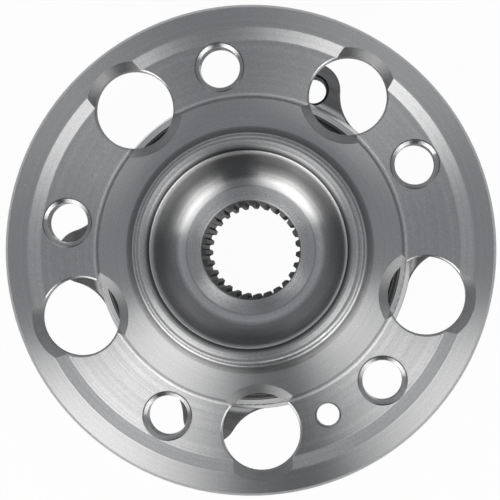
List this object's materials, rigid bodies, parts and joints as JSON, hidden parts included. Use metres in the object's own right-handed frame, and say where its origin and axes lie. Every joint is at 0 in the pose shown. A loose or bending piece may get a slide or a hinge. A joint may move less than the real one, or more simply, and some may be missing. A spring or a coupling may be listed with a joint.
{
  "type": "driven wheel hub bearing",
  "caption": "Flanged wheel hub turning on two rows of balls in an outer ring with mounting ears, with a splined bore and seals.",
  "frame": {"origin": "on the hub axis at the plane of the brake disc's seat on the wheel flange", "axes": "+Z along the hub axis, out to the wheel; +Y along the line of symmetry of the outer ring's four ears, towards the closer pair"},
  "size_m": [0.148, 0.148, 0.0795],
  "materials": {
    "turned_hub": "bright lathe-turned steel, fine rings, protective oil",
    "forged_ring": "turned forged steel, darker, with as-forged ears",
    "ground_ring": "ground and honed bearing steel",
    "bearing_ball": "polished bearing steel",
    "cage_polymer": "moulded glass-filled polyamide",
    "seal_steel": "pressed sheet steel",
    "seal_rubber": "moulded nitrile rubber",
    "encoder_rubber": "magnetised rubber, satin"
  },
  "bodies": {
    "outer_ring": {"outer_ring": "forged_ring", "outboard_seal_case": "seal_steel", "outboard_seal_lips": "seal_rubber", "inboard_seal_case": "seal_steel", "inboard_seal_lips": "seal_rubber"},
    "hub": {"wheel_hub": "turned_hub", "inner_ring": "ground_ring", "inboard_slinger": "seal_steel", "encoder_ring": "encoder_rubber"},
    "cage_outboard": {"cage_outboard": "cage_polymer", "ball_outboard_01": "bearing_ball", "ball_outboard_02": "bearing_ball", "ball_outboard_03": "bearing_ball", "ball_outboard_04": "bearing_ball", "ball_outboard_05": "bearing_ball", "ball_outboard_06": "bearing_ball", "ball_outboard_07": "bearing_ball", "ball_outboard_08": "bearing_ball", "ball_outboard_09": "bearing_ball", "ball_outboard_10": "bearing_ball", "ball_outboard_11": "bearing_ball", "ball_outboard_12": "bearing_ball", "ball_outboard_13": "bearing_ball", "ball_outboard_14": "bearing_ball"},
    "cage_inboard": {"cage_inboard": "cage_polymer", "ball_inboard_01": "bearing_ball", "ball_inboard_02": "bearing_ball", "ball_inboard_03": "bearing_ball", "ball_inboard_04": "bearing_ball", "ball_inboard_05": "bearing_ball", "ball_inboard_06": "bearing_ball", "ball_inboard_07": "bearing_ball", "ball_inboard_08": "bearing_ball", "ball_inboard_09": "bearing_ball", "ball_inboard_10": "bearing_ball", "ball_inboard_11": "bearing_ball", "ball_inboard_12": "bearing_ball", "ball_inboard_13": "bearing_ball", "ball_inboard_14": "bearing_ball"}
  },
  "joints": [
    {"name": "hub_spin", "type": "hinge", "parent": "outer_ring", "child": "hub", "pos_m": [0, 0, 0], "axis": [0, 0, 1], "continuous": true},
    {"name": "cage_outboard_orbit", "type": "hinge", "parent": "outer_ring", "child": "cage_outboard", "pos_m": [0, 0, -0.03], "axis": [0, 0, 1], "continuous": true},
    {"name": "cage_inboard_orbit", "type": "hinge", "parent": "outer_ring", "child": "cage_inboard", "pos_m": [0, 0, -0.0483], "axis": [0, 0, 1], "continuous": true}
  ],
  "couplings": [
    {"joint": "cage_outboard_orbit", "follows": "hub_spin", "ratio": 0.4222},
    {"joint": "cage_inboard_orbit", "follows": "hub_spin", "ratio": 0.4222}
  ]
}
